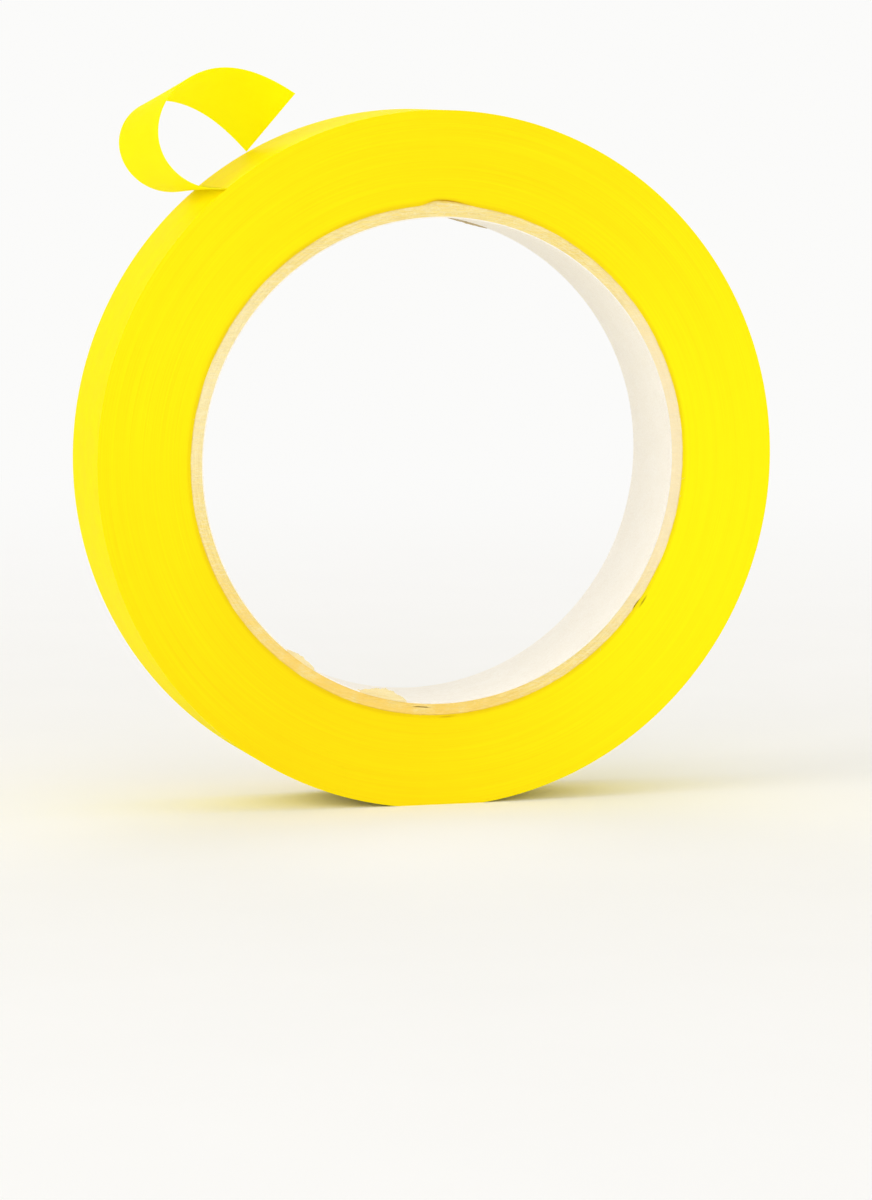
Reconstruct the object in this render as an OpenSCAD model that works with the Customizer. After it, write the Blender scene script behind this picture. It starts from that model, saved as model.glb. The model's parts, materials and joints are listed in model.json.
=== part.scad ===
// Roll of masking tape that stands on its rim, with its free end peeled up and curled.
// Millimetres. The origin is the centre of the core's bore, halfway across the width.
// +Y runs along the roll's axis from the front face to the back, +X is right and +Z is up.

/* [Core] */
// Inside diameter of the cardboard core
core_bore_d = 76.2; // [74:0.1:78]
// Thickness of the white paper that lines the bore
liner_t = 0.2; // [0.1:0.05:0.3]
// Thickness of one ply of kraft board
ply_t = 0.6; // [0.4:0.05:0.8]
// Height of the lap where the outer ply ends on itself
lap_step = 0.6; // [0.3:0.05:0.7]
// Length round the core over which the lap fades out
lap_reach = 9; // [8:1:20]
// Angle of the lap, from the right-hand side up over the top
lap_angle = 91; // [60:1:110]

/* [Tape] */
// Width of the tape
tape_w = 19; // [18:1:24]
// Thickness of the tape, paper backing and adhesive together
tape_t = 0.088; // [0.08:0.002:0.1]
// Length of the tape on the roll, in metres
tape_len_m = 50; // [40:1:55]
// Depth of the flat on the rim where the roll stands
flat_depth = 0.5; // [0.3:0.05:0.6]

/* [Peeled tail] */
// Angle of the peel line, from the right-hand side up over the top
peel_angle = 128.5; // [100:0.5:140]
// Angle at which the tail leaves the rim
peel_lift = 23; // [20:1:30]
// Length of the free tail
tail_len = 44; // [40:0.4:44]
// Bend of the tail at its start, at each third and at its end, in degrees per millimetre
tail_bend = [5.2, 7.8, 5.3, 1.3]; // [0.5:0.1:8]
// Twist of the tail at the same four places, in degrees per millimetre
tail_twist = [1, 0.8, -1.2, -1]; // [-1.2:0.1:1.2]
// Distance from the peel line to the first bending place
lift_at = 8; // [7.2:0.4:10]
// Distance from the peel line to the second bending place
curl_at = 18.4; // [16:0.4:20]
// Distance from the peel line to the third bending place
crown_at = 29.2; // [27.2:0.4:31.2]

/* [Hidden] */
$fn = 360;

// Radii of the core's layers, from the bore outwards
bore_r = core_bore_d / 2;
liner_r = bore_r + liner_t;
inner_ply_r = liner_r + ply_t;
middle_ply_r = inner_ply_r + ply_t;
core_r = middle_ply_r + ply_t;
lap_r = 1 / (1 / core_r + 2 * lap_step / pow(lap_reach, 2));

// The wound tape fills the ring between the core and the rim
rim_r = sqrt(pow(core_r, 2) + 1000 * tape_len_m * tape_t / PI);
turn_count = (rim_r - core_r) / tape_t;
// Space along the rim between the two ends of the outer turn
turn_gap = 0.6;

// Rings of the tail, and the empty step that parts two pieces of it
tail_step = 0.4;
tail_rings = round(tail_len / tail_step);
root_ring = 3;
lift_ring = round(lift_at / tail_step);
curl_ring = round(curl_at / tail_step);
crown_ring = round(crown_at / tail_step);

// Colours of the photographed roll
tape_face_yellow = [1.00, 0.90, 0.02];
tape_rim_yellow = [1.00, 0.94, 0.10];
tail_yellow = [1.00, 0.92, 0.08];
kraft_brown = [0.72, 0.56, 0.36];
liner_white = [0.93, 0.90, 0.85];

// Vector v turned about a unit axis
function turned(v, axis, angle) =
    v * cos(angle) + cross(axis, v) * sin(angle) + axis * (axis * v) * (1 - cos(angle));

function unit(v) = v / norm(v);

// Value at distance s along the tail, between four values spread over its length
function along_tail(values, s) =
    lookup(s, [for (i = [0:3]) [i * tail_len / 3, values[i]]]);

// A frame of the tail: its middle, the way it runs, the way its outer side faces, its width.
// The first frame lies on the rim at the peel line, lifted about that line.
function peel_frame() =
    let (out = [cos(peel_angle), 0, sin(peel_angle)],
         width = [0, 1, 0],
         run = cross(out, width))
    [(rim_r - tape_t / 2) * out,
     turned(run, width, peel_lift),
     turned(out, width, peel_lift),
     width];

// The frame one step further along the bending and twisting tail
function next_frame(f, i) =
    let (s = (i + 0.5) * tail_step,
         spin = along_tail(tail_bend, s) * f[3] + along_tail(tail_twist, s) * f[1],
         axis = unit(spin),
         angle = norm(spin) * tail_step,
         run = turned(f[1], axis, angle))
    [f[0] + tail_step * unit(f[1] + run),
     run,
     turned(f[2], axis, angle),
     turned(f[3], axis, angle)];

tail_frames = [for (i = 0, f = peel_frame(); i <= tail_rings; f = next_frame(f, i), i = i + 1) f];

// Point on a frame, in widths across the tape and thicknesses through it
function on_tape(f, across, through) = f[0] + across * tape_w * f[3] + through * tape_t * f[2];

// Axis of bending in the empty step before a ring: a point and a direction
function bending_axis(ring) =
    let (before = tail_frames[ring - 1], after = tail_frames[ring])
    [(before[0] + after[0]) / 2, unit(before[3] + after[3])];

// Shape of the roll's cross-section, drawn on the front face and run through the width
module through_width() {
    rotate([90, 0, 0]) linear_extrude(tape_w, center = true) children();
}

module tube_ply(outer_r, inner_r) {
    through_width() difference() {
        circle(outer_r);
        circle(inner_r);
    }
}

// Half of the plane, on one side of the line through the peel line and the axis
module half_plane(side) {
    reach = 2 * rim_r;
    translate([-reach, side > 0 ? 0 : -reach]) square([2 * reach, reach]);
}

// Disc whose edge is one turn of the spiral: it steps out by one thickness at the peel line
module spiral_disc(r) {
    rotate(peel_angle) {
        intersection() {
            translate([-tape_t / 4, 0]) circle(r - 3 * tape_t / 4);
            half_plane(1);
        }
        intersection() {
            translate([tape_t / 4, 0]) circle(r - tape_t / 4);
            half_plane(-1);
        }
    }
}

// Spiral disc pressed flat at the bottom, where the roll stands
module standing_disc(r) {
    intersection() {
        spiral_disc(r);
        translate([-2 * r, flat_depth - r]) square(4 * r);
    }
}

// Outside of the core, with the lap that its outer ply makes
module core_outline() {
    circle(core_r);
    rotate(lap_angle) intersection() {
        translate([core_r + lap_step - lap_r, 0]) circle(lap_r);
        translate([0, -core_r]) square([2 * core_r, core_r]);
    }
}

// Strip of tape between two rings of the tail, as one closed skin of triangles
module tail_strip(first, last) {
    corners = [[-0.5, -0.5], [-0.5, 0.5], [0.5, 0.5], [0.5, -0.5]];
    count = last - first;
    points = [for (i = [first:last], c = corners) on_tape(tail_frames[i], c[0], c[1])];
    sides = [for (i = [0:count - 1], k = [0:3])
        let (a = 4 * i + k, b = 4 * i + (k + 1) % 4)
        each [[a, b, b + 4], [a, b + 4, a + 4]]];
    end = 4 * count;
    caps = [[0, 2, 1], [0, 3, 2], [end, end + 1, end + 2], [end, end + 2, end + 3]];
    polyhedron(points, concat(sides, caps));
}

module core_liner() {
    color(liner_white) tube_ply(liner_r, bore_r);
}

module core_ply_inner() {
    color(kraft_brown) tube_ply(inner_ply_r, liner_r);
}

module core_ply_middle() {
    color(kraft_brown) tube_ply(middle_ply_r, inner_ply_r);
}

module core_ply_outer() {
    color(kraft_brown) through_width() difference() {
        core_outline();
        circle(middle_ply_r);
    }
}

module tape_pack() {
    color(tape_face_yellow) through_width() difference() {
        standing_disc(rim_r - tape_t);
        core_outline();
    }
}

module tape_outer_turn() {
    color(tape_rim_yellow) through_width() difference() {
        standing_disc(rim_r);
        standing_disc(rim_r - tape_t);
        rotate(peel_angle) translate([core_r, 0]) square([core_r, turn_gap]);
    }
}

module tail_root() {
    color(tail_yellow) tail_strip(root_ring, lift_ring - 1);
}

module tail_curl() {
    color(tail_yellow) tail_strip(lift_ring, curl_ring - 1);
}

module tail_crown() {
    color(tail_yellow) tail_strip(curl_ring, crown_ring - 1);
}

module tail_end() {
    color(tail_yellow) tail_strip(crown_ring, tail_rings);
}

core_liner();
core_ply_inner();
core_ply_middle();
core_ply_outer();
tape_pack();
tape_outer_turn();
tail_root();
tail_curl();
tail_crown();
tail_end();

// Least gap of the outer turn to itself, between the corners of its two ends
function end_corners(r, v) = [for (k = [0, 1]) [r - k * tape_t, v]];
turn_least_gap = min([for (a = end_corners(rim_r, 0), b = end_corners(rim_r - tape_t, turn_gap))
    norm(a - b)]);
// Least gap of the tail to itself, between points of it that lie on different pieces,
// and to the rim, over the part of the tail that is above the roll's width
across_tail = [for (k = [-4:4]) k / 8];
function tail_points(first, last) =
    [for (i = [first:last], a = across_tail) on_tape(tail_frames[i], a, 0)];
tail_least_gap = min([for (a = tail_points(root_ring, lift_ring - 1),
                           b = tail_points(curl_ring, tail_rings))
    norm(a - b)]) - tape_t;
rim_least_gap = min([for (p = tail_points(root_ring, tail_rings))
    if (abs(p[1]) <= tape_w / 2) norm([p[0], p[2]])]) - rim_r - tape_t / 2;
echo(rim_r = rim_r, turn_count = turn_count);
echo(turn_least_gap = turn_least_gap, tail_least_gap = tail_least_gap, rim_least_gap = rim_least_gap);
echo(lift_axis = bending_axis(lift_ring));
echo(curl_axis = bending_axis(curl_ring));
echo(crown_axis = bending_axis(crown_ring));
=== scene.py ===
import json
import math

import bmesh
import bpy
import numpy as np
from mathutils import Matrix, Vector, noise


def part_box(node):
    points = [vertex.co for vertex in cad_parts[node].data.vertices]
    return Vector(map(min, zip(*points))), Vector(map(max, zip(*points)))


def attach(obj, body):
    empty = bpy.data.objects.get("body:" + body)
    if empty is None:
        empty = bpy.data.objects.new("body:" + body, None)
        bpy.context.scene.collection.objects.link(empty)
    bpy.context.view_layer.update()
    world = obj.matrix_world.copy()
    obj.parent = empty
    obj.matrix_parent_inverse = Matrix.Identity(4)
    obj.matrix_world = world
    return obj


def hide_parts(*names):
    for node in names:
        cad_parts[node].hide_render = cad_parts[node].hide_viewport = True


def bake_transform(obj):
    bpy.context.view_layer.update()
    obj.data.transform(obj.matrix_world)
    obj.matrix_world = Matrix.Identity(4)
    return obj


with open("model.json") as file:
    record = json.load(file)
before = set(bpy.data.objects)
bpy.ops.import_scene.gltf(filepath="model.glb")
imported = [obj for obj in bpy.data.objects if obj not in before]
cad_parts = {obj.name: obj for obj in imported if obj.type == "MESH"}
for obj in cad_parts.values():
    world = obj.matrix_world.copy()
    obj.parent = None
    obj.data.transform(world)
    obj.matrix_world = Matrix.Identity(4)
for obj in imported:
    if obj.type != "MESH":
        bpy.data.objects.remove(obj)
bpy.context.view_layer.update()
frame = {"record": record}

# Lining paper
# The innermost ply of the core is white paper, glued to the board behind it.
# It is wound on a slant, and the slitting knife leaves its cut edge a little ragged.
MM = 0.001
FULL_TURN = 2 * math.pi
mounts = {mount["name"]: mount for mount in frame["record"]["mounts"]}
bore_r = mounts["core_bore"]["dims"]["r_mm"] * MM
half_width = mounts["core_bore"]["dims"]["length_mm"] * MM / 2
liner_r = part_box("core_liner")[1].x


def put(tree, kind, sockets=None, **settings):
    """A new node with these settings, its inputs set or linked by name or by number."""
    made = tree.nodes.new(kind)
    for name, value in settings.items():
        setattr(made, name, value)
    for key, value in (sockets or {}).items():
        if isinstance(value, bpy.types.NodeSocket):
            tree.links.new(value, made.inputs[key])
        else:
            made.inputs[key].default_value = value
    return made


def calc(tree, operation, *values):
    """The output of a Math node."""
    return put(tree, "ShaderNodeMath", dict(enumerate(values)), operation=operation).outputs[0]


def times(tree, product, *values):
    """The product of two or more values."""
    for value in values:
        product = calc(tree, "MULTIPLY", product, value)
    return product


def vector(tree, x, y, z):
    """A vector from its three values."""
    return put(tree, "ShaderNodeCombineXYZ", {0: x, 1: y, 2: z}).outputs[0]


def split(tree, place):
    """The three values of a vector."""
    return put(tree, "ShaderNodeSeparateXYZ", {0: place}).outputs


def angle_round_axis(tree, at):
    """Angle of a point round the roll's axis, from the right-hand side up over the top."""
    return calc(tree, "ARCTAN2", at[2], at[0])


def distance_from_axis(tree, at):
    """Distance of a point from the roll's axis."""
    squares = [calc(tree, "POWER", at[axis], 2.0) for axis in (0, 2)]
    return calc(tree, "SQRT", calc(tree, "ADD", *squares))


def point_round_axis(tree, radius, angle):
    """The x and the z of a point at a radius and an angle."""
    return [times(tree, radius, calc(tree, wave, angle)) for wave in ("COSINE", "SINE")]


def ramp(tree, value, low, high):
    """A smooth step from 0 at low to 1 at high."""
    sockets = {"Value": value, "From Min": low, "From Max": high}
    made = put(tree, "ShaderNodeMapRange", sockets, interpolation_type="SMOOTHSTEP")
    return made.outputs["Result"]


def name_sockets(tree, direction, entries):
    """Adds sockets to a node group, from entries of name, kind and, if it matters, first value."""
    for name, kind, *value in entries:
        made = tree.interface.new_socket(name, in_out=direction, socket_type="NodeSocket" + kind)
        if value:
            made.default_value = value[0]


def shape_tree(name, inputs):
    """An empty Geometry Nodes tree, and the values of its named inputs."""
    tree = bpy.data.node_groups.new(name, "GeometryNodeTree")
    name_sockets(tree, "OUTPUT", [("Geometry", "Geometry")])
    name_sockets(tree, "INPUT", inputs)
    return tree, put(tree, "NodeGroupInput").outputs


def end_shape_tree(tree, shaped, paint):
    """Ends a Geometry Nodes tree: its shape made real and given its material."""
    real = put(tree, "GeometryNodeRealizeInstances", {0: shaped.outputs[0]})
    painted = put(tree, "GeometryNodeSetMaterial", {"Geometry": real.outputs[0], "Material": paint})
    put(tree, "NodeGroupOutput", {"Geometry": painted.outputs[0]})


LAYER_WANDER = 0.6
FRAY_WANDER = 45.0
FRAY_PITCH = 0.6 * MM
FACE_SEED = 9.0
LAP_RISE = (-0.085, 0.005)
SLIT_OPEN_SHARE = 0.4
SLIT_DEPTH = 0.4 * MM
SLIT_LIP = 0.1 * MM
FRONT_FROM = 1.0 * MM
DOUBLES = 1e-7


def wound_ring_tree():
    """A ring wound from thin layers. Its two faces show how far the edges of the layers stand out.
    The ring swells over a lap, opens at a slit in its front face, steps in by one layer where its
    outermost layer starts, and stands on a flat. wall_share runs from its inside to its outside."""
    tree, given = shape_tree("wound_ring", [
        ("Inner Radius", "Float"), ("Outer Radius", "Float"), ("Half Width", "Float"),
        ("Around", "Int"), ("Across", "Int"), ("Rows", "Int"),
        ("Layer Pitch", "Float"), ("Edge Play", "Float"), ("Ragged", "Float"),
        ("Lap Angle", "Float"), ("Lap Height", "Float"), ("Lap Reach", "Float", 0.2),
        ("Lap Inside", "Float"), ("Lap Outside", "Float"),
        ("Slit Angle", "Float"), ("Slit Half Angle", "Float", 0.03), ("Slit Gap", "Float"),
        ("Spiral Angle", "Float"), ("Spiral Step", "Float"),
        ("Flat Height", "Float", 1.0), ("Seed", "Float"), ("Material", "Material")])
    inner, outer, half = given["Inner Radius"], given["Outer Radius"], given["Half Width"]
    wall = calc(tree, "SUBTRACT", outer, inner)

    def edge_height(radius, angle, side):
        """How far from the middle the edges of the layers stand on one face."""
        height = half
        for pitch, wander, amount in ((given["Layer Pitch"], LAYER_WANDER, given["Edge Play"]),
                                      (FRAY_PITCH, FRAY_WANDER, given["Ragged"])):
            x, z = point_round_axis(tree, wander, angle)
            wave = put(tree, "ShaderNodeTexNoise", {
                "Vector": vector(tree, calc(tree, "DIVIDE", radius, pitch), x, z),
                "W": calc(tree, "ADD", given["Seed"], FACE_SEED * side),
                "Scale": 1.0, "Detail": 2.0}, noise_dimensions="4D")
            swing = calc(tree, "MULTIPLY_ADD", wave.outputs[0], 2.0, -1.0)
            height = calc(tree, "MULTIPLY_ADD", swing, amount, height)
        return times(tree, height, float(side))

    def sheet(rows, place):
        """A grid rolled into a ring. place gives radius and height from the angle and the row."""
        grid = put(tree, "GeometryNodeMeshGrid", {
            "Size X": 1.0, "Size Y": 1.0, "Vertices X": calc(tree, "ADD", given["Around"], 1.0),
            "Vertices Y": calc(tree, "ADD", rows, 1.0)})
        shares = split(tree, grid.outputs["UV Map"])
        angle = times(tree, shares[0], FULL_TURN)
        radius, height = place(angle, shares[1])
        x, z = point_round_axis(tree, radius, angle)
        return put(tree, "GeometryNodeSetPosition", {
            "Geometry": grid.outputs["Mesh"], "Position": vector(tree, x, height, z)}).outputs[0]

    def face(side):
        """The front or the back of the ring, across its wall."""
        def place(angle, row):
            radius = calc(tree, "MULTIPLY_ADD", row, wall, inner)
            return radius, edge_height(radius, angle, side)
        return sheet(given["Across"], place)

    def skin(radius):
        """The inside or the outside of the ring, across its width."""
        def place(angle, row):
            front, back = (edge_height(radius, angle, side) for side in (-1, 1))
            return radius, calc(tree, "MULTIPLY_ADD", row, calc(tree, "SUBTRACT", back, front), front)
        return sheet(given["Rows"], place)

    joined = put(tree, "GeometryNodeJoinGeometry")
    for part in (face(-1), face(1), skin(inner), skin(outer)):
        tree.links.new(part, joined.inputs[0])
    merged = put(tree, "GeometryNodeMergeByDistance", {
        "Geometry": joined.outputs[0], "Distance": DOUBLES})
    at = split(tree, put(tree, "GeometryNodeInputPosition").outputs[0])
    angle = angle_round_axis(tree, at)
    radius = distance_from_axis(tree, at)
    share = calc(tree, "DIVIDE", calc(tree, "SUBTRACT", radius, inner), wall)
    marked = put(tree, "GeometryNodeStoreNamedAttribute", {
        "Geometry": merged.outputs[0], "Name": "wall_share", "Value": share},
        data_type="FLOAT", domain="POINT")

    def angle_past(start):
        """Angle clockwise from a place, within half a turn."""
        return calc(tree, "WRAP", calc(tree, "SUBTRACT", start, angle), math.pi, -math.pi)

    past_lap = angle_past(given["Lap Angle"])
    lapped = times(tree, ramp(tree, past_lap, *LAP_RISE), ramp(tree, past_lap, given["Lap Reach"], 0.0))
    lap_slope = calc(tree, "SUBTRACT", given["Lap Outside"], given["Lap Inside"])
    lap_weight = calc(tree, "MULTIPLY_ADD", share, lap_slope, given["Lap Inside"])
    swell = times(tree, lapped, given["Lap Height"], lap_weight)

    from_slit = calc(tree, "DIVIDE", angle_past(given["Slit Angle"]), given["Slit Half Angle"])
    slit = times(tree, ramp(tree, from_slit, -1.0, -SLIT_OPEN_SHARE),
                 ramp(tree, from_slit, 1.0, SLIT_OPEN_SHARE))
    height_over_face = calc(tree, "SUBTRACT", calc(tree, "ABSOLUTE", at[1]), half)
    mouth = times(tree, ramp(tree, height_over_face, -SLIT_DEPTH, -SLIT_LIP),
                  ramp(tree, at[1], 0.0, -FRONT_FROM))
    opening = times(tree, slit, mouth, given["Slit Gap"], share)

    past_start = calc(tree, "SUBTRACT", angle, given["Spiral Angle"])
    wound = calc(tree, "WRAP", past_start, FULL_TURN, 0.0)
    unwound_share = calc(tree, "MULTIPLY_ADD", wound, -1.0 / FULL_TURN, 1.0)
    drop = times(tree, given["Spiral Step"], unwound_share, share)

    inwards = calc(tree, "ADD", opening, drop)
    grown = calc(tree, "ADD", radius, calc(tree, "SUBTRACT", swell, inwards))
    x, z = point_round_axis(tree, grown, angle)
    z = calc(tree, "MAXIMUM", z, times(tree, given["Flat Height"], -1.0))
    shaped = put(tree, "GeometryNodeSetPosition", {
        "Geometry": marked.outputs[0], "Position": vector(tree, x, at[1], z)})
    end_shape_tree(tree, shaped, given["Material"])
    return tree


RING_CREASE = math.radians(35)


def put_in_scene(name, data):
    """A new object in the scene."""
    made = bpy.data.objects.new(name, data)
    bpy.context.scene.collection.objects.link(made)
    return made


def finished(mesh, crease):
    """Merges doubles, turns the faces outwards and shades smooth up to a crease."""
    body = bmesh.new()
    body.from_mesh(mesh)
    bmesh.ops.remove_doubles(body, verts=body.verts, dist=2 * DOUBLES)
    bmesh.ops.recalc_face_normals(body, faces=body.faces)
    for face in body.faces:
        face.smooth = True
    for edge in body.edges:
        edge.smooth = len(edge.link_faces) == 2 and edge.calc_face_angle(0) < crease
    body.to_mesh(mesh)
    body.free()
    return mesh


def grown_from(tree, name, **inputs):
    """A plain mesh object made by a Geometry Nodes tree with these inputs."""
    carrier = put_in_scene(name + "_carrier", bpy.data.meshes.new(name + "_carrier"))
    modifier = carrier.modifiers.new("grow", "NODES")
    modifier.node_group = tree
    sockets = [item for item in tree.interface.items_tree if item.in_out == "INPUT"]
    identifiers = {socket.name: socket.identifier for socket in sockets}
    for key, value in inputs.items():
        modifier[identifiers[key.replace("_", " ").title()]] = value
    ready = carrier.evaluated_get(bpy.context.evaluated_depsgraph_get())
    mesh = bpy.data.meshes.new_from_object(ready)
    mesh.name = name
    mesh.materials.clear()
    mesh.materials.append(inputs["material"])
    mesh.polygons.foreach_set("material_index", [0] * len(mesh.polygons))
    bpy.data.objects.remove(carrier)
    return put_in_scene(name, finished(mesh, RING_CREASE))


FIBRE_LAYS = [(0.4, 1.3), (1.7, 5.1), (2.7, 8.2)]
FIBRE_PROPORTIONS = (320.0, 2300.0, 2300.0)
FIBRE_HALF_BAND = 0.035
CLOUD_SCALE = 260.0
TOOTH_SCALE = 5200.0


def soft_noise(tree, place, scale, detail):
    """A value that changes softly from place to place."""
    sockets = {"Vector": place, "Scale": scale, "Detail": detail}
    return put(tree, "ShaderNodeTexNoise", sockets).outputs[0]


def paper_fibre_group():
    """Paper seen close: long fibres that lie every way, clouds in the pulp, and a fine tooth."""
    tree = bpy.data.node_groups.new("paper_fibre", "ShaderNodeTree")
    name_sockets(tree, "INPUT", [("Vector", "Vector"), ("Scale", "Float")])
    name_sockets(tree, "OUTPUT", [("Fibre", "Float"), ("Cloud", "Float"), ("Tooth", "Float")])
    given = put(tree, "NodeGroupInput").outputs
    place, scale = given["Vector"], given["Scale"]
    strands = 0.0
    for turn, seed in FIBRE_LAYS:
        lie = put(tree, "ShaderNodeMapping", {
            "Vector": place, "Rotation": (0.3 * seed, turn, 0.7 * turn), "Scale": FIBRE_PROPORTIONS})
        wave = put(tree, "ShaderNodeTexNoise", {
            "Vector": lie.outputs[0], "W": seed, "Scale": scale, "Detail": 1.0}, noise_dimensions="4D")
        from_line = calc(tree, "ABSOLUTE", calc(tree, "SUBTRACT", wave.outputs[0], 0.5))
        strands = calc(tree, "MAXIMUM", strands, ramp(tree, from_line, FIBRE_HALF_BAND, 0.0))
    put(tree, "NodeGroupOutput", {
        "Fibre": strands,
        "Cloud": soft_noise(tree, place, times(tree, scale, CLOUD_SCALE), 4.0),
        "Tooth": soft_noise(tree, place, times(tree, scale, TOOTH_SCALE), 3.0)})
    return tree


paper_fibre = paper_fibre_group()
wound_ring = wound_ring_tree()


def material(name, **constants):
    """A material whose shader has these constant values, and its node tree and shader."""
    made = bpy.data.materials.new(name)
    made.use_nodes = True
    shader = made.node_tree.nodes["Principled BSDF"]
    for key, value in constants.items():
        shader.inputs[key.replace("_", " ")].default_value = value
    return made, made.node_tree, shader


def feed(tree, shader, **sources):
    """Links these sources to the shader's sockets."""
    for key, source in sources.items():
        tree.links.new(source, shader.inputs[key.replace("_", " ")])


def object_place(tree):
    """The place of a point on its piece."""
    return put(tree, "ShaderNodeTexCoord").outputs["Object"]


def fibres_at(tree, place, scale):
    """The fibres, clouds and tooth of paper at a place."""
    sockets = {"Vector": place, "Scale": scale}
    return put(tree, "ShaderNodeGroup", sockets, node_tree=paper_fibre).outputs


def mixed(tree, factor, low, high):
    """A colour between two colours."""
    sockets = {"Factor": factor, 6: low, 7: high}
    made = put(tree, "ShaderNodeMix", sockets, data_type="RGBA", clamp_factor=True)
    return made.outputs[2]


def tinted(tree, base, colour, *shares):
    """A base colour that is turned towards another by the product of some shares."""
    return mixed(tree, times(tree, *shares), base, colour)


def bumped(tree, height, strength, distance):
    """A normal from a height."""
    sockets = {"Height": height, "Strength": strength, "Distance": distance}
    return put(tree, "ShaderNodeBump", sockets).outputs[0]


LINING_SHADE = (0.93, 0.885, 0.79, 1)
LINING_WHITE = (0.975, 0.945, 0.875, 1)
LINING_FIBRE = (0.74, 0.64, 0.50, 1)
SEAM_BROWN = (0.42, 0.29, 0.17, 1)
SEAM_SLANT = 1.8
SEAM_ARC = 99.7 * MM
SEAM_HALF_WIDTHS = (0.35 * MM, 0.1 * MM)
SEAM_ENDS = (half_width - 0.1 * MM, half_width - 0.6 * MM)


def lining_paper():
    """White lining paper, warm, with faint fibres and a slanting butt seam."""
    made, tree, shader = material("lining_paper", Roughness=0.82, Specular_IOR_Level=0.25)
    place = object_place(tree)
    fibre = fibres_at(tree, place, 1.0)
    at = split(tree, place)
    arc = times(tree, angle_round_axis(tree, at), bore_r)
    slanted = calc(tree, "MULTIPLY_ADD", at[1], SEAM_SLANT, arc)
    from_seam = calc(tree, "ABSOLUTE", calc(tree, "SUBTRACT", slanted, SEAM_ARC))
    from_middle = calc(tree, "ABSOLUTE", at[1])
    seam = times(tree, ramp(tree, from_seam, *SEAM_HALF_WIDTHS), ramp(tree, from_middle, *SEAM_ENDS))
    base = mixed(tree, fibre["Cloud"], LINING_SHADE, LINING_WHITE)
    base = tinted(tree, base, LINING_FIBRE, fibre["Fibre"], 0.25)
    base = tinted(tree, base, SEAM_BROWN, seam, 0.7)
    rough = calc(tree, "MULTIPLY_ADD", fibre["Fibre"], 0.4, fibre["Tooth"])
    height = calc(tree, "SUBTRACT", rough, seam)
    feed(tree, shader, Base_Color=base, Normal=bumped(tree, height, 0.35, 0.05 * MM))
    return made


RING_STEPS = 640
WIDTH_STEPS = 24
liner = grown_from(
    wound_ring, "lining_paper", inner_radius=bore_r, outer_radius=liner_r, half_width=half_width,
    around=RING_STEPS, across=2, rows=WIDTH_STEPS, layer_pitch=0.4 * MM, edge_play=0.02 * MM,
    ragged=0.07 * MM, seed=3.0, material=lining_paper())
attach(liner, "roll")
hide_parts("core_liner")

# Board plies of the core
# Three plies of brown kraft board are glued over the lining and cut to width with the tape.
# The knife parts them here and there, and the end of the outer ply makes a lap at the top.
LAP_ANGLE = math.radians(90.6)
LAP_HEIGHT = 0.68 * MM
LAP_REACH = math.radians(11.0)
core_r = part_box("core_ply_outer")[1].x
BOARD_PLIES = ["core_ply_inner", "core_ply_middle", "core_ply_outer"]
BOARD_SET_BACK = 0.03 * MM
# Middle and half length of a slit in degrees, and its gap in millimetres
SLITS = {"core_ply_inner": (265.4, 2.4, 0.15), "core_ply_outer": (324.1, 1.6, 0.16)}
NO_SLIT = (0.0, 1.0, 0.0)
BOARD_BROWN = (0.87, 0.66, 0.20, 1)
BOARD_PALE = (0.99, 0.83, 0.34, 1)
BOARD_FIBRE = (0.97, 0.87, 0.56, 1)
LOW_SIDE_AMBER = (0.98, 0.63, 0.08, 1)
GLUE_AND_SHADE_AMBER = (0.78, 0.53, 0.02, 1)
PULP_LAYERS = 9000.0
PULP_GRAIN = 260.0
JOINT_LINE_SHARES = (0.66, 0.92)
JOINT_LINE_RADII = (core_r - 0.5 * MM, core_r - 0.3 * MM)
AMBER_SIDE = 252.0
# Side in degrees, share of the radius where it starts, strength and colour
PALE_BOARD_SIDES = [
    (0.0, 0.55, 0.7, (0.975, 0.845, 0.62, 1)),
    (160.0, 0.8, 0.45, (0.98, 0.89, 0.60, 1))]


def distance_towards(tree, at, side):
    """How far a point lies from the roll's axis in the direction of an angle in degrees."""
    x_share, z_share = math.cos(math.radians(side)), math.sin(math.radians(side))
    return calc(tree, "MULTIPLY_ADD", at[0], x_share, times(tree, at[2], z_share))


def layered_noise(tree, at, radius, layers, grain, detail):
    """A noise that lies in thin layers round the roll's axis."""
    x, z = (times(tree, at[axis], grain) for axis in (0, 2))
    return soft_noise(tree, vector(tree, times(tree, radius, layers), x, z), 1.0, detail)


def share_of_wall(tree):
    """0 at the inside of a wound ring and 1 at its outside."""
    return put(tree, "ShaderNodeAttribute", attribute_name="wall_share").outputs["Fac"]


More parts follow.
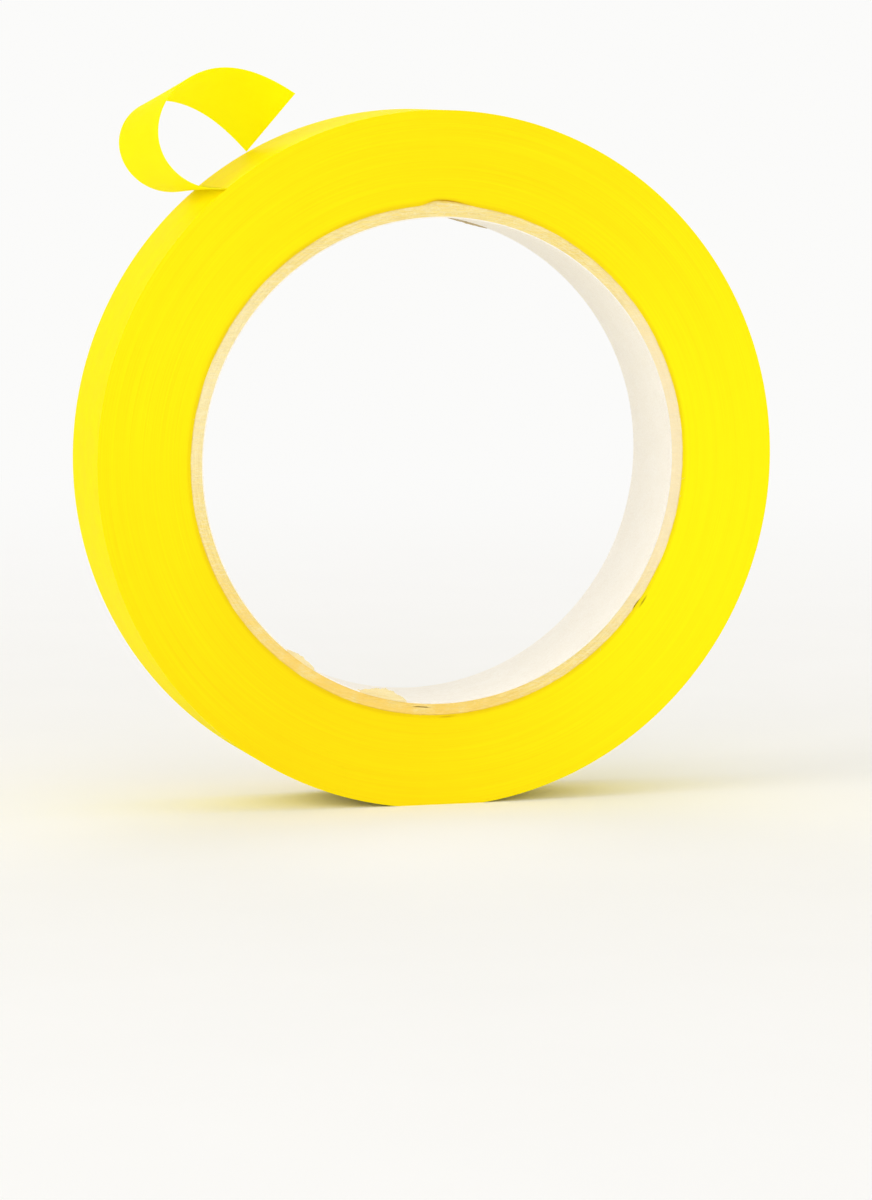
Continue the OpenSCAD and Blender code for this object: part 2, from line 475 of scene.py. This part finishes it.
def kraft_board(name, brown, pale, low_amber):
    """Board cut across: layers of pulp and fibres, and a darker amber line at its joint with the tape,
    partly glue and partly painted shade of the gap. It is more amber in patches towards the bottom,
    and paler towards the right and the left."""
    made, tree, shader = material(name, Roughness=0.9, Specular_IOR_Level=0.2)
    place = object_place(tree)
    fibre = fibres_at(tree, place, 1.0)
    at = split(tree, place)
    radius = distance_from_axis(tree, at)
    pulp = layered_noise(tree, at, radius, PULP_LAYERS, PULP_GRAIN, 3.0)
    tone = calc(tree, "MULTIPLY_ADD", pulp, 0.7, times(tree, fibre["Tooth"], 0.3))
    base = mixed(tree, ramp(tree, tone, 0.3, 0.7), brown, pale)
    base = tinted(tree, base, BOARD_FIBRE, fibre["Fibre"], 0.45)
    # More amber in patches towards the bottom, and paler towards the right and the left
    low = ramp(tree, distance_towards(tree, at, AMBER_SIDE), 0.5 * core_r, core_r)
    base = tinted(tree, base, LOW_SIDE_AMBER, low, ramp(tree, fibre["Cloud"], 0.25, 0.6), low_amber)
    for side, from_share, strength, shade in PALE_BOARD_SIDES:
        paler = ramp(tree, distance_towards(tree, at, side), from_share * core_r, core_r)
        base = tinted(tree, base, shade, paler, strength)
    # Darker amber line at the joint with the tape: partly glue, partly painted shade of the gap
    glue_and_shade = times(tree, ramp(tree, share_of_wall(tree), *JOINT_LINE_SHARES),
                  ramp(tree, radius, *JOINT_LINE_RADII))
    base = tinted(tree, base, GLUE_AND_SHADE_AMBER, glue_and_shade, ramp(tree, fibre["Cloud"], 0.3, 0.6), 0.75)
    height = calc(tree, "MULTIPLY_ADD", fibre["Fibre"], 0.5, tone)
    feed(tree, shader, Base_Color=base, Normal=bumped(tree, height, 0.6, 0.08 * MM))
    return made


board = kraft_board("cut_kraft_board", BOARD_BROWN, BOARD_PALE, 0.62)
ply_inner_r = liner_r
for number, node in enumerate(BOARD_PLIES):
    ply_outer_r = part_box(node)[1].x
    slit_angle, slit_half, slit_gap = SLITS.get(node, NO_SLIT)
    is_outer = node == "core_ply_outer"
    ply = grown_from(
        wound_ring, node.replace("core", "board"), inner_radius=ply_inner_r, outer_radius=ply_outer_r,
        half_width=half_width - BOARD_SET_BACK, around=RING_STEPS, across=5, rows=WIDTH_STEPS,
        layer_pitch=0.3 * MM, edge_play=0.04 * MM, ragged=0.05 * MM, lap_angle=LAP_ANGLE,
        lap_reach=LAP_REACH, lap_height=LAP_HEIGHT * is_outer, lap_inside=0.0, lap_outside=1.0,
        slit_angle=math.radians(slit_angle), slit_half_angle=math.radians(slit_half),
        slit_gap=slit_gap * MM, seed=11.0 + number, material=board)
    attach(ply, "roll")
    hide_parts(node)
    ply_inner_r = ply_outer_r

# Torn edges of the bore
# Where the knife dragged, the lining has torn loose with some of the board's pulp behind it.
# The tongues are bent in towards the middle, two at the front of the bore and one at its back.
# The one at the back is dark board: painted shade for the shadow line along the back edge at the
# top of the bore.
SHEET_CREASE = math.radians(60)
TORN_COLUMNS = 40
TORN_ROWS = 7
TORN_THICKNESS = 0.09 * MM
TORN_PROUD = 0.11 * MM
# Waves along a tongue's torn edge: how many, where in the noise, and how strong
TORN_WAVES = [(9, 4.1, 1.0), (31, 7.7, 0.6)]
torn_pulp = kraft_board("torn_pulp", (0.90, 0.74, 0.36, 1), (0.99, 0.89, 0.56, 1), 0.15)
# Dark board, painted shade for the shadowed back edge at the top of the bore
painted_shade_kraft = kraft_board("painted_shade_kraft", (0.40, 0.29, 0.14, 1), (0.62, 0.48, 0.27, 1), 0.0)
# Name, paper, side of the roll, first and last angle in degrees, lift and depth in millimetres
TORN_EDGES = [
    ("torn_lining_low", torn_pulp, -1, 250.0, 261.6, 1.2, 1.8),
    ("torn_lining_left", torn_pulp, -1, 229.4, 237.4, 0.5, 1.1),
    ("painted_shade_strip_top", painted_shade_kraft, 1, 70.0, 80.0, 0.2, 0.8)]


def sheet_piece(name, body, papers):
    """An object from the faces of a thin sheet, with its materials."""
    mesh = bpy.data.meshes.new(name)
    body.to_mesh(mesh)
    body.free()
    for paper in papers:
        mesh.materials.append(paper)
    return put_in_scene(name, finished(mesh, SHEET_CREASE))


def torn_edge(name, paper, side, first, last, lift, depth):
    """A tongue of paper torn loose at one edge of the bore and bent in towards the middle."""
    body = bmesh.new()
    layers = []
    for is_inner in (False, True):
        grid = []
        for column in range(TORN_COLUMNS + 1):
            along = column / TORN_COLUMNS
            angle = math.radians(first + (last - first) * along)
            ragged = 0.0
            for count, level, strength in TORN_WAVES:
                ragged += strength * noise.noise(Vector((along * count, lift, level)))
            rise = lift * MM * math.sin(math.pi * along) ** 0.8 * (1 + 0.35 * ragged)
            line = []
            for row in range(TORN_ROWS + 1):
                inwards = row / TORN_ROWS
                bent = rise * (1 - inwards) ** 1.6
                radius = liner_r - (bent + liner_r - bore_r + TORN_THICKNESS) * is_inner
                proud = TORN_PROUD * (1 - inwards) * (1 - 0.4 * ragged)
                across = side * (half_width - depth * MM * inwards + proud)
                place = (radius * math.cos(angle), across, radius * math.sin(angle))
                line.append(body.verts.new(place))
            grid.append(line)
        layers.append(grid)
    outer, inner = layers
    for column in range(TORN_COLUMNS):
        beside = column + 1
        for row in range(TORN_ROWS):
            for grid in layers:
                body.faces.new((grid[column][row], grid[beside][row],
                                grid[beside][row + 1], grid[column][row + 1]))
        for row in (0, TORN_ROWS):
            body.faces.new((outer[column][row], outer[beside][row],
                            inner[beside][row], inner[column][row]))
    for column in (0, TORN_COLUMNS):
        for row in range(TORN_ROWS):
            body.faces.new((outer[column][row], outer[column][row + 1],
                            inner[column][row + 1], inner[column][row]))
    return sheet_piece(name, body, [paper])


for torn in TORN_EDGES:
    tongue = torn_edge(*torn)
    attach(tongue, "roll")

# Loose fibres
# The cut leaves short fibres of the board standing out of both edges of the core,
# still held at their roots by the glue between the plies.
FIBRE_COUNT = 320
FIBRE_LENGTH = 0.6 * MM
FIBRE_RADIUS = 0.012 * MM
FIBRE_ROOT = 0.05 * MM
FIBRE_LEAN = 0.4


def edge_fibre_tree():
    """Loose paper fibres that stand out of the two cut edges of the core."""
    tree, given = shape_tree("edge_fibres", [
        ("Inner Radius", "Float"), ("Outer Radius", "Float"), ("Half Width", "Float"),
        ("Count", "Int"), ("Length", "Float"), ("Thickness", "Float"),
        ("Seed", "Int"), ("Material", "Material")])

    def chance(low, high, draw):
        """A value drawn for each fibre."""
        seed = calc(tree, "ADD", given["Seed"], float(draw))
        return put(tree, "FunctionNodeRandomValue", {2: low, 3: high, "Seed": seed}).outputs[1]

    angle = chance(0.0, FULL_TURN, 0)
    radius = chance(given["Inner Radius"], given["Outer Radius"], 1)
    side = calc(tree, "SIGN", chance(-1.0, 1.0, 2))
    x, z = point_round_axis(tree, radius, angle)
    root = vector(tree, x, times(tree, side, given["Half Width"]), z)
    line = put(tree, "GeometryNodeMeshLine", {"Count": given["Count"]})
    points = put(tree, "GeometryNodeSetPosition", {"Geometry": line.outputs[0], "Position": root})
    length = given["Length"]
    bow = vector(tree, times(tree, length, 0.35), times(tree, length, 0.3), 0.0)
    tip = vector(tree, length, times(tree, length, 0.2), 0.0)
    curve = put(tree, "GeometryNodeCurveQuadraticBezier", {
        "Resolution": 4, "Start": (0, 0, 0), "Middle": bow, "End": tip})
    profile = put(tree, "GeometryNodeCurvePrimitiveCircle", {
        "Resolution": 3, "Radius": given["Thickness"]})
    strand = put(tree, "GeometryNodeCurveToMesh", {
        "Curve": curve.outputs[0], "Profile Curve": profile.outputs[0], "Fill Caps": True})
    half_turn = calc(tree, "MULTIPLY_ADD", side, -math.pi / 2, math.pi / 2)
    tilt = vector(tree, half_turn, chance(0.0, FULL_TURN, 3), chance(-FIBRE_LEAN, FIBRE_LEAN, 4))
    placed = put(tree, "GeometryNodeInstanceOnPoints", {
        "Points": points.outputs[0], "Instance": strand.outputs[0], "Rotation": tilt,
        "Scale": chance(0.4, 1.2, 5)})
    end_shape_tree(tree, placed, given["Material"])
    return tree


fuzz = grown_from(
    edge_fibre_tree(), "edge_fibres", inner_radius=liner_r, outer_radius=core_r,
    half_width=half_width - FIBRE_ROOT, count=FIBRE_COUNT, length=FIBRE_LENGTH,
    thickness=FIBRE_RADIUS, seed=5, material=board)
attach(fuzz, "roll")

# Wound tape
# The pack is one long strip of yellow paper tape, wound tight under tension, so its faces are
# the cut edges of many turns. Each turn stands a hair in or out, which shows as fine rings.
TAPE_T = 0.088 * MM
rest_z = mounts["rest_flat"]["pos_m"][2]
rim_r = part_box("tape_outer_turn")[1].z
PEEL_ANGLE = math.radians(128.5)
TURN_GAP = 0.6 * MM
turn_start = PEEL_ANGLE + TURN_GAP / rim_r
EDGE_GOLD = (0.95, 0.69, 0.002, 1)
EDGE_LEMON = (0.99, 0.905, 0.003, 1)
# Darker line at the joint with the core: partly glue, partly painted shade of the gap
GLUE_AND_SHADE_ORANGE = (0.70, 0.36, 0.004, 1)
LAP_GLUE_AND_SHADE_BROWN = (0.46, 0.20, 0.004, 1)
GLUE_AND_SHADE_SHARES = (0.055, 0.01)
LAP_GLUE_AND_SHADE_SHARES = (0.022, 0.004)
FINE_RINGS = (7000.0, 40.0)
BROAD_RINGS = (900.0, 9.0)
FACE_CLOUD_SCALE = 45.0
# Middle and half length of the glue and painted shade at the lap, in degrees
LAP_GLUE_AND_SHADE = (88.0, 6.5)
PARTING_SHADE_HALF_WIDTH = 0.22 * MM
# Painted sheen, paler at sides of the face: how many, the angle of one in degrees, and the strength
PAINTED_SHEEN_SIDES = [(1.0, 15.0, 0.097), (2.0, 163.0, 0.131)]
# Painted shade of a parting between turns: middle and half length in degrees, radius in millimetres and
# colour
PARTING_SHADE_MARKS = [
    (325.5, 2.2, 40.75, (0.42, 0.30, 0.004, 1)),
    (271.5, 2.6, 40.4, (0.70, 0.45, 0.004, 1))]


def tape_edges():
    """Edges of the turns: rings of gold and lemon yellow, slightly sticky and so slightly glossy.
    A painted sheen makes them palest on the right and most golden low on the left. A darker line
    on the first turns is partly glue and partly painted shade of the gap at the core, darkest at
    the lap, and two dark lines are painted shade of partings where the knife has split turns."""
    made, tree, shader = material("wound_tape_edges", Specular_IOR_Level=0.06)
    place = object_place(tree)
    at = split(tree, place)
    angle = angle_round_axis(tree, at)
    radius = distance_from_axis(tree, at)
    outside = share_of_wall(tree)

    def beside(middle, half_angle):
        """1 at an angle, fading to 0 on both sides of it. Both are in degrees."""
        away = calc(tree, "SUBTRACT", angle, math.radians(middle))
        turned = calc(tree, "ABSOLUTE", calc(tree, "WRAP", away, math.pi, -math.pi))
        return ramp(tree, turned, math.radians(half_angle), 0.0)

    fine = layered_noise(tree, at, radius, *FINE_RINGS, 2.0)
    broad = layered_noise(tree, at, radius, *BROAD_RINGS, 2.0)
    cloud = soft_noise(tree, place, FACE_CLOUD_SCALE, 3.0)
    slow = calc(tree, "MULTIPLY_ADD", broad, 0.18, times(tree, cloud, 0.11))
    tone = calc(tree, "MULTIPLY_ADD", fine, 0.37, slow)
    # Painted sheen: paler on the right and the left, more golden at the top and the bottom
    for count, sheen_angle, strength in PAINTED_SHEEN_SIDES:
        turned = calc(tree, "MULTIPLY_ADD", angle, count, -count * math.radians(sheen_angle))
        tone = calc(tree, "MULTIPLY_ADD", calc(tree, "COSINE", turned), strength, tone)
    base = mixed(tree, ramp(tree, tone, -0.11, 0.69), EDGE_GOLD, EDGE_LEMON)
    # Darker line on the first turns at the core: partly glue, partly painted shade of the gap between
    # tape and core, darkest at the lap
    glue_and_gap_shade = ramp(tree, outside, *GLUE_AND_SHADE_SHARES)
    base = tinted(tree, base, GLUE_AND_SHADE_ORANGE, glue_and_gap_shade, ramp(tree, cloud, 0.1, 0.7), 0.42)
    lap_glue_and_shade = ramp(tree, outside, *LAP_GLUE_AND_SHADE_SHARES)
    base = tinted(tree, base, LAP_GLUE_AND_SHADE_BROWN, beside(*LAP_GLUE_AND_SHADE), lap_glue_and_shade, 0.9)
    height = calc(tree, "MULTIPLY_ADD", broad, 0.6, fine)
    front = ramp(tree, at[1], 0.0, -half_width)
    # Painted shade: dark lines with a slight dent where turns are parted by the knife
    for middle, half_angle, parting_r, brown in PARTING_SHADE_MARKS:
        off = calc(tree, "ABSOLUTE", calc(tree, "SUBTRACT", radius, parting_r * MM))
        parting_shade = times(tree, front, beside(middle, half_angle), ramp(tree, off, PARTING_SHADE_HALF_WIDTH, 0.0))
        base = mixed(tree, parting_shade, base, brown)
        height = calc(tree, "SUBTRACT", height, parting_shade)
    roughness = calc(tree, "MULTIPLY_ADD", fine, 0.25, 0.38)
    normal = bumped(tree, height, 0.3, 0.06 * MM)
    feed(tree, shader, Base_Color=base, Roughness=roughness, Normal=normal)
    return made


pack = grown_from(
    wound_ring, "wound_tape", inner_radius=core_r, outer_radius=rim_r - TAPE_T, half_width=half_width,
    around=RING_STEPS, across=56, rows=3, layer_pitch=0.7 * MM, edge_play=0.035 * MM, ragged=0.0,
    lap_angle=LAP_ANGLE, lap_reach=LAP_REACH, lap_height=LAP_HEIGHT, lap_inside=1.0, lap_outside=0.0,
    spiral_angle=turn_start, spiral_step=TAPE_T, flat_height=-rest_z - TAPE_T, seed=21.0,
    material=tape_edges())
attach(pack, "roll")
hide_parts("tape_pack")

# Last turn on the roll
# The outermost turn is the same tape, stuck down all the way round with its smooth backing out.
# It ends at the peel line, where the step to the turn below is one thickness of tape.
BACKING_GOLD = (0.97, 0.77, 0.002, 1)
BACKING_LEMON = (0.99, 0.885, 0.003, 1)
SHEET_GLOW = (0.99, 0.97, 0.06, 1)
TAPE_COLUMNS = 25
TURN_STEPS = 720
TURN_PLAY = 0.06 * MM


def show_mixed(tree, factor, first, second):
    """Makes a material show a mix of two shaders."""
    both = put(tree, "ShaderNodeMixShader", {0: factor, 1: first.outputs[0], 2: second.outputs[0]})
    tree.links.new(both.outputs[0], tree.nodes["Material Output"].inputs["Surface"])


def tape_strip(name, frames, sides, start=0.0):
    """A closed strip of tape through frames of middle, outer side and width.
    The first of its two sides is the backing and the second the adhesive."""
    across = np.linspace(-half_width, half_width, TAPE_COLUMNS).tolist()
    outline = [(offset, TAPE_T / 2) for offset in across]
    outline += [(offset, -TAPE_T / 2) for offset in across[::-1]]
    body = bmesh.new()
    along_tape = body.loops.layers.uv.new("along_tape")
    spots = {}
    rows = []
    length = start
    last = frames[0][0]
    for middle, out, width in frames:
        length += (middle - last).length
        last = middle
        row = []
        for offset, height in outline:
            corner = body.verts.new(middle + offset * width + height * out)
            spots[corner] = (length, offset)
            row.append(corner)
        rows.append(row)
    for row, following in zip(rows, rows[1:]):
        for place in range(len(outline)):
            beside = (place + 1) % len(outline)
            face = body.faces.new((row[place], row[beside], following[beside], following[place]))
            face.material_index = min(place // len(across), len(sides) - 1)
    for end in (rows[0], rows[-1]):
        for place in range(len(across) - 1):
            body.faces.new((end[place], end[place + 1], end[-2 - place], end[-1 - place]))
    for face in body.faces:
        for loop in face.loops:
            loop[along_tape].uv = spots[loop.vert]
    return sheet_piece(name, body, sides)


def tape_paper(name, gold, lemon, roughness, through):
    """Saturated yellow tissue paper, seen along the tape: fine fibres, clouds and a smooth coat.
    through is the share of light that passes where the tape is a single sheet."""
    made, tree, shader = material(name, Specular_IOR_Level=0.02)
    fibre = fibres_at(tree, put(tree, "ShaderNodeUVMap", uv_map="along_tape").outputs[0], 0.8)
    tone = calc(tree, "MULTIPLY_ADD", fibre["Fibre"], 0.25, times(tree, fibre["Cloud"], 0.9))
    base = mixed(tree, ramp(tree, tone, -0.15, 1.2), gold, lemon)
    patchy = calc(tree, "MULTIPLY_ADD", fibre["Cloud"], 0.2, roughness)
    height = calc(tree, "MULTIPLY_ADD", fibre["Fibre"], 0.5, times(tree, fibre["Tooth"], 0.6))
    normal = bumped(tree, height, 0.22, 0.03 * MM)
    feed(tree, shader, Base_Color=base, Roughness=patchy, Normal=normal)
    if through:
        glow = put(tree, "ShaderNodeBsdfTranslucent", {"Color": SHEET_GLOW, "Normal": normal})
        show_mixed(tree, through, shader, glow)
    return made


def turn_frame(share):
    """Frame on the spiral of the last turn, from its start at share 0 to the peel line at 1."""
    angle = turn_start + share * (FULL_TURN - TURN_GAP / rim_r)
    radius = rim_r - TAPE_T * (1.5 - share)
    out = Vector((math.cos(angle), 0, math.sin(angle)))
    middle = radius * out
    middle.z = max(middle.z, rest_z + TAPE_T / 2)
    middle.y = TURN_PLAY * math.sin(math.pi * share) * noise.noise(3 * out)
    return middle, out, Vector((0, 1, 0))


backing = tape_paper("smooth_tape_backing", BACKING_GOLD, BACKING_LEMON, 0.5, 0.0)
turn_frames = [turn_frame(step / TURN_STEPS) for step in range(TURN_STEPS + 1)]
last_turn = tape_strip("last_turn", turn_frames, [backing])
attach(last_turn, "roll")
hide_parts("tape_outer_turn")

# Free tail
# The loose end has been peeled off the rim and let go, and the springy paper curls over itself.
# Its backing is inside the curl, the adhesive outside, and the free end is cut straight across.
PEEL_LIFT = math.radians(23)
TAIL_LENGTH = 44 * MM
TAIL_BEND = np.radians([5.2, 7.8, 5.3, 1.3]) / MM
TAIL_TWIST = np.radians([1.0, 0.8, -1.2, -1.0]) / MM
TAIL_STEPS = 220
TAIL_SEAMS = [0.0, 13.0 * MM, 23.6 * MM, TAIL_LENGTH]
TAIL_PARTS = [
    ("tail_lower", "tail_start", "tail_middle", ["tail_root", "tail_curl"]),
    ("tail_bow", "tail_middle", "tail_top", ["tail_crown"]),
    ("tail_upper", "tail_top", "tail_tip", ["tail_end"])]
TAIL_THROUGH = 0.55
# The tail is painted paler than the same tape on the roll: painted light, for the light that passes
# through its single sheet
LIT_TAIL_BACKING = [(0.97, 0.87, 0.003, 1), (0.99, 0.95, 0.006, 1)]
LIT_TAIL_ADHESIVE = [(0.97, 0.90, 0.006, 1), (0.99, 0.96, 0.015, 1)]


def tail_frames():
    """Frames along the tail, from the peel line, bent and twisted a little more at each step."""
    step = TAIL_LENGTH / TAIL_STEPS
    knots = np.linspace(0, TAIL_LENGTH, len(TAIL_BEND))
    out = Vector((math.cos(PEEL_ANGLE), 0, math.sin(PEEL_ANGLE)))
    middle = (rim_r - TAPE_T / 2) * out
    width = Vector((0, 1, 0))
    lift = Matrix.Rotation(PEEL_LIFT, 3, width)
    run, out = lift @ out.cross(width), lift @ out
    frames = [(middle, out, width)]
    for number in range(TAIL_STEPS):
        along = (number + 0.5) * step
        bend, twist = (float(np.interp(along, knots, rates)) for rates in (TAIL_BEND, TAIL_TWIST))
        spin = bend * width + twist * run
        turn = Matrix.Rotation(spin.length * step, 3, spin.normalized())
        ahead = turn @ run
        middle = middle + (run + ahead).normalized() * step
        run, out, width = ahead, turn @ out, turn @ width
        frames.append((middle, out, width))
    return frames


def tail_ring(distance):
    """Number of the frame at a distance from the peel line."""
    return round(distance / TAIL_LENGTH * TAIL_STEPS)


tail = tail_frames()
# Paler copies of the tape: painted light on the tail
lit_tail_sides = [
    tape_paper("lit_tail_backing", *LIT_TAIL_BACKING, 0.5, TAIL_THROUGH),
    tape_paper("lit_tail_adhesive", *LIT_TAIL_ADHESIVE, 0.42, TAIL_THROUGH)]
for number, (name, before, after, nodes) in enumerate(TAIL_PARTS):
    low, high = (tail_ring(seam) for seam in TAIL_SEAMS[number:number + 2])
    part = tape_strip(name, tail[low:high + 1], lit_tail_sides, TAIL_SEAMS[number])
    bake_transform(part)
    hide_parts(*nodes)

# Studio
# The roll stands on a pale floor that fades into a white room, under broad soft lamps.
# The camera stands where the photograph was taken from.
ROOM_WHITE = (0.965, 0.963, 0.953, 1)
ROOM_LIGHT = 0.65
FLOOR_SHADE = (0.905, 0.90, 0.885, 1)
FLOOR_PALE = (0.93, 0.925, 0.912, 1)
FLOOR_MOTTLE_SCALE = 30.0
FLOOR_RADIUS = 4.0
FLOOR_SIDES = 96
FLOOR_FADE = (0.1, 0.6)
LAMP_WHITE = (1.0, 0.98, 0.95)
# Name, place, size and power
LAMPS = [
    ("key_lamp", (-0.3, -1.5, 0.7), 1.0, 5.0),
    ("left_lamp", (-1.45, -0.4, 0.6), 1.0, 8.0),
    ("right_lamp", (1.2, -1.0, 0.4), 1.0, 2.2),
    ("top_lamp", (0.1, -0.1, 1.4), 1.2, 3.0),
    ("back_lamp", (0.35, 1.4, 0.9), 1.2, 5.2)]


def seen_directly(tree):
    """1 for rays from the camera and for rays that reach the room by gloss or through a sheet."""
    path = put(tree, "ShaderNodeLightPath").outputs
    reached = calc(tree, "MAXIMUM", path["Is Glossy Ray"], path["Is Transmission Ray"])
    return calc(tree, "MAXIMUM", path["Is Camera Ray"], reached)


def floor_paper():
    """Pale paper that takes the shadow close by and fades to the white of the room far off."""
    made, tree, shader = material("floor_paper", Roughness=0.95, Specular_IOR_Level=0.1)
    place = object_place(tree)
    mottled = soft_noise(tree, place, FLOOR_MOTTLE_SCALE, 3.0)
    feed(tree, shader, Base_Color=mixed(tree, mottled, FLOOR_SHADE, FLOOR_PALE))
    far = put(tree, "ShaderNodeVectorMath", {0: place}, operation="LENGTH").outputs["Value"]
    white = put(tree, "ShaderNodeEmission", {"Color": ROOM_WHITE, "Strength": 1.0})
    show_mixed(tree, times(tree, ramp(tree, far, *FLOOR_FADE), seen_directly(tree)), shader, white)
    return made


floor_angles = [FULL_TURN * side / FLOOR_SIDES for side in range(FLOOR_SIDES)]
floor_corners = [
    (FLOOR_RADIUS * math.cos(angle), FLOOR_RADIUS * math.sin(angle), rest_z) for angle in floor_angles]
floor_mesh = bpy.data.meshes.new("floor")
floor_mesh.from_pydata(floor_corners, [], [range(len(floor_corners))])
floor_mesh.materials.append(floor_paper())
put_in_scene("floor", floor_mesh)

for name, place, size, power in LAMPS:
    light = bpy.data.lights.new(name, "AREA")
    light.size = size
    light.energy = power
    light.color = LAMP_WHITE
    lamp = put_in_scene(name, light)
    lamp.location = place
    lamp.rotation_euler = (-Vector(place)).to_track_quat("-Z", "Y").to_euler()

world = bpy.data.worlds.new("studio")
world.use_nodes = True
sky = world.node_tree.nodes["Background"].inputs
sky["Color"].default_value = ROOM_WHITE
direct = seen_directly(world.node_tree)
shown = calc(world.node_tree, "MULTIPLY_ADD", direct, 1.0 - ROOM_LIGHT, ROOM_LIGHT)
world.node_tree.links.new(shown, sky["Strength"])
bpy.context.scene.world = world

CAMERA_PLACE = Vector((-204.36, -725.92, 62.09)) * MM
CAMERA_AHEAD = Vector((0.27171818, 0.95584318, -0.11195105))
CAMERA_UP = Vector((0.03061157, 0.10768458, 0.99371372))
CAMERA_LENS = 142.997
CAMERA_SENSOR = 36.0
CAMERA_NEAREST = 0.05
camera = put_in_scene("camera", bpy.data.cameras.new("camera"))
camera.data.lens = CAMERA_LENS
camera.data.sensor_width = CAMERA_SENSOR
camera.data.clip_start = CAMERA_NEAREST
camera_right = CAMERA_AHEAD.cross(CAMERA_UP)
camera_turn = Matrix((camera_right, CAMERA_UP, -CAMERA_AHEAD)).transposed().to_4x4()
camera.matrix_world = Matrix.Translation(CAMERA_PLACE) @ camera_turn
bpy.context.scene.camera = camera
bpy.context.scene.view_settings.view_transform = "Standard"
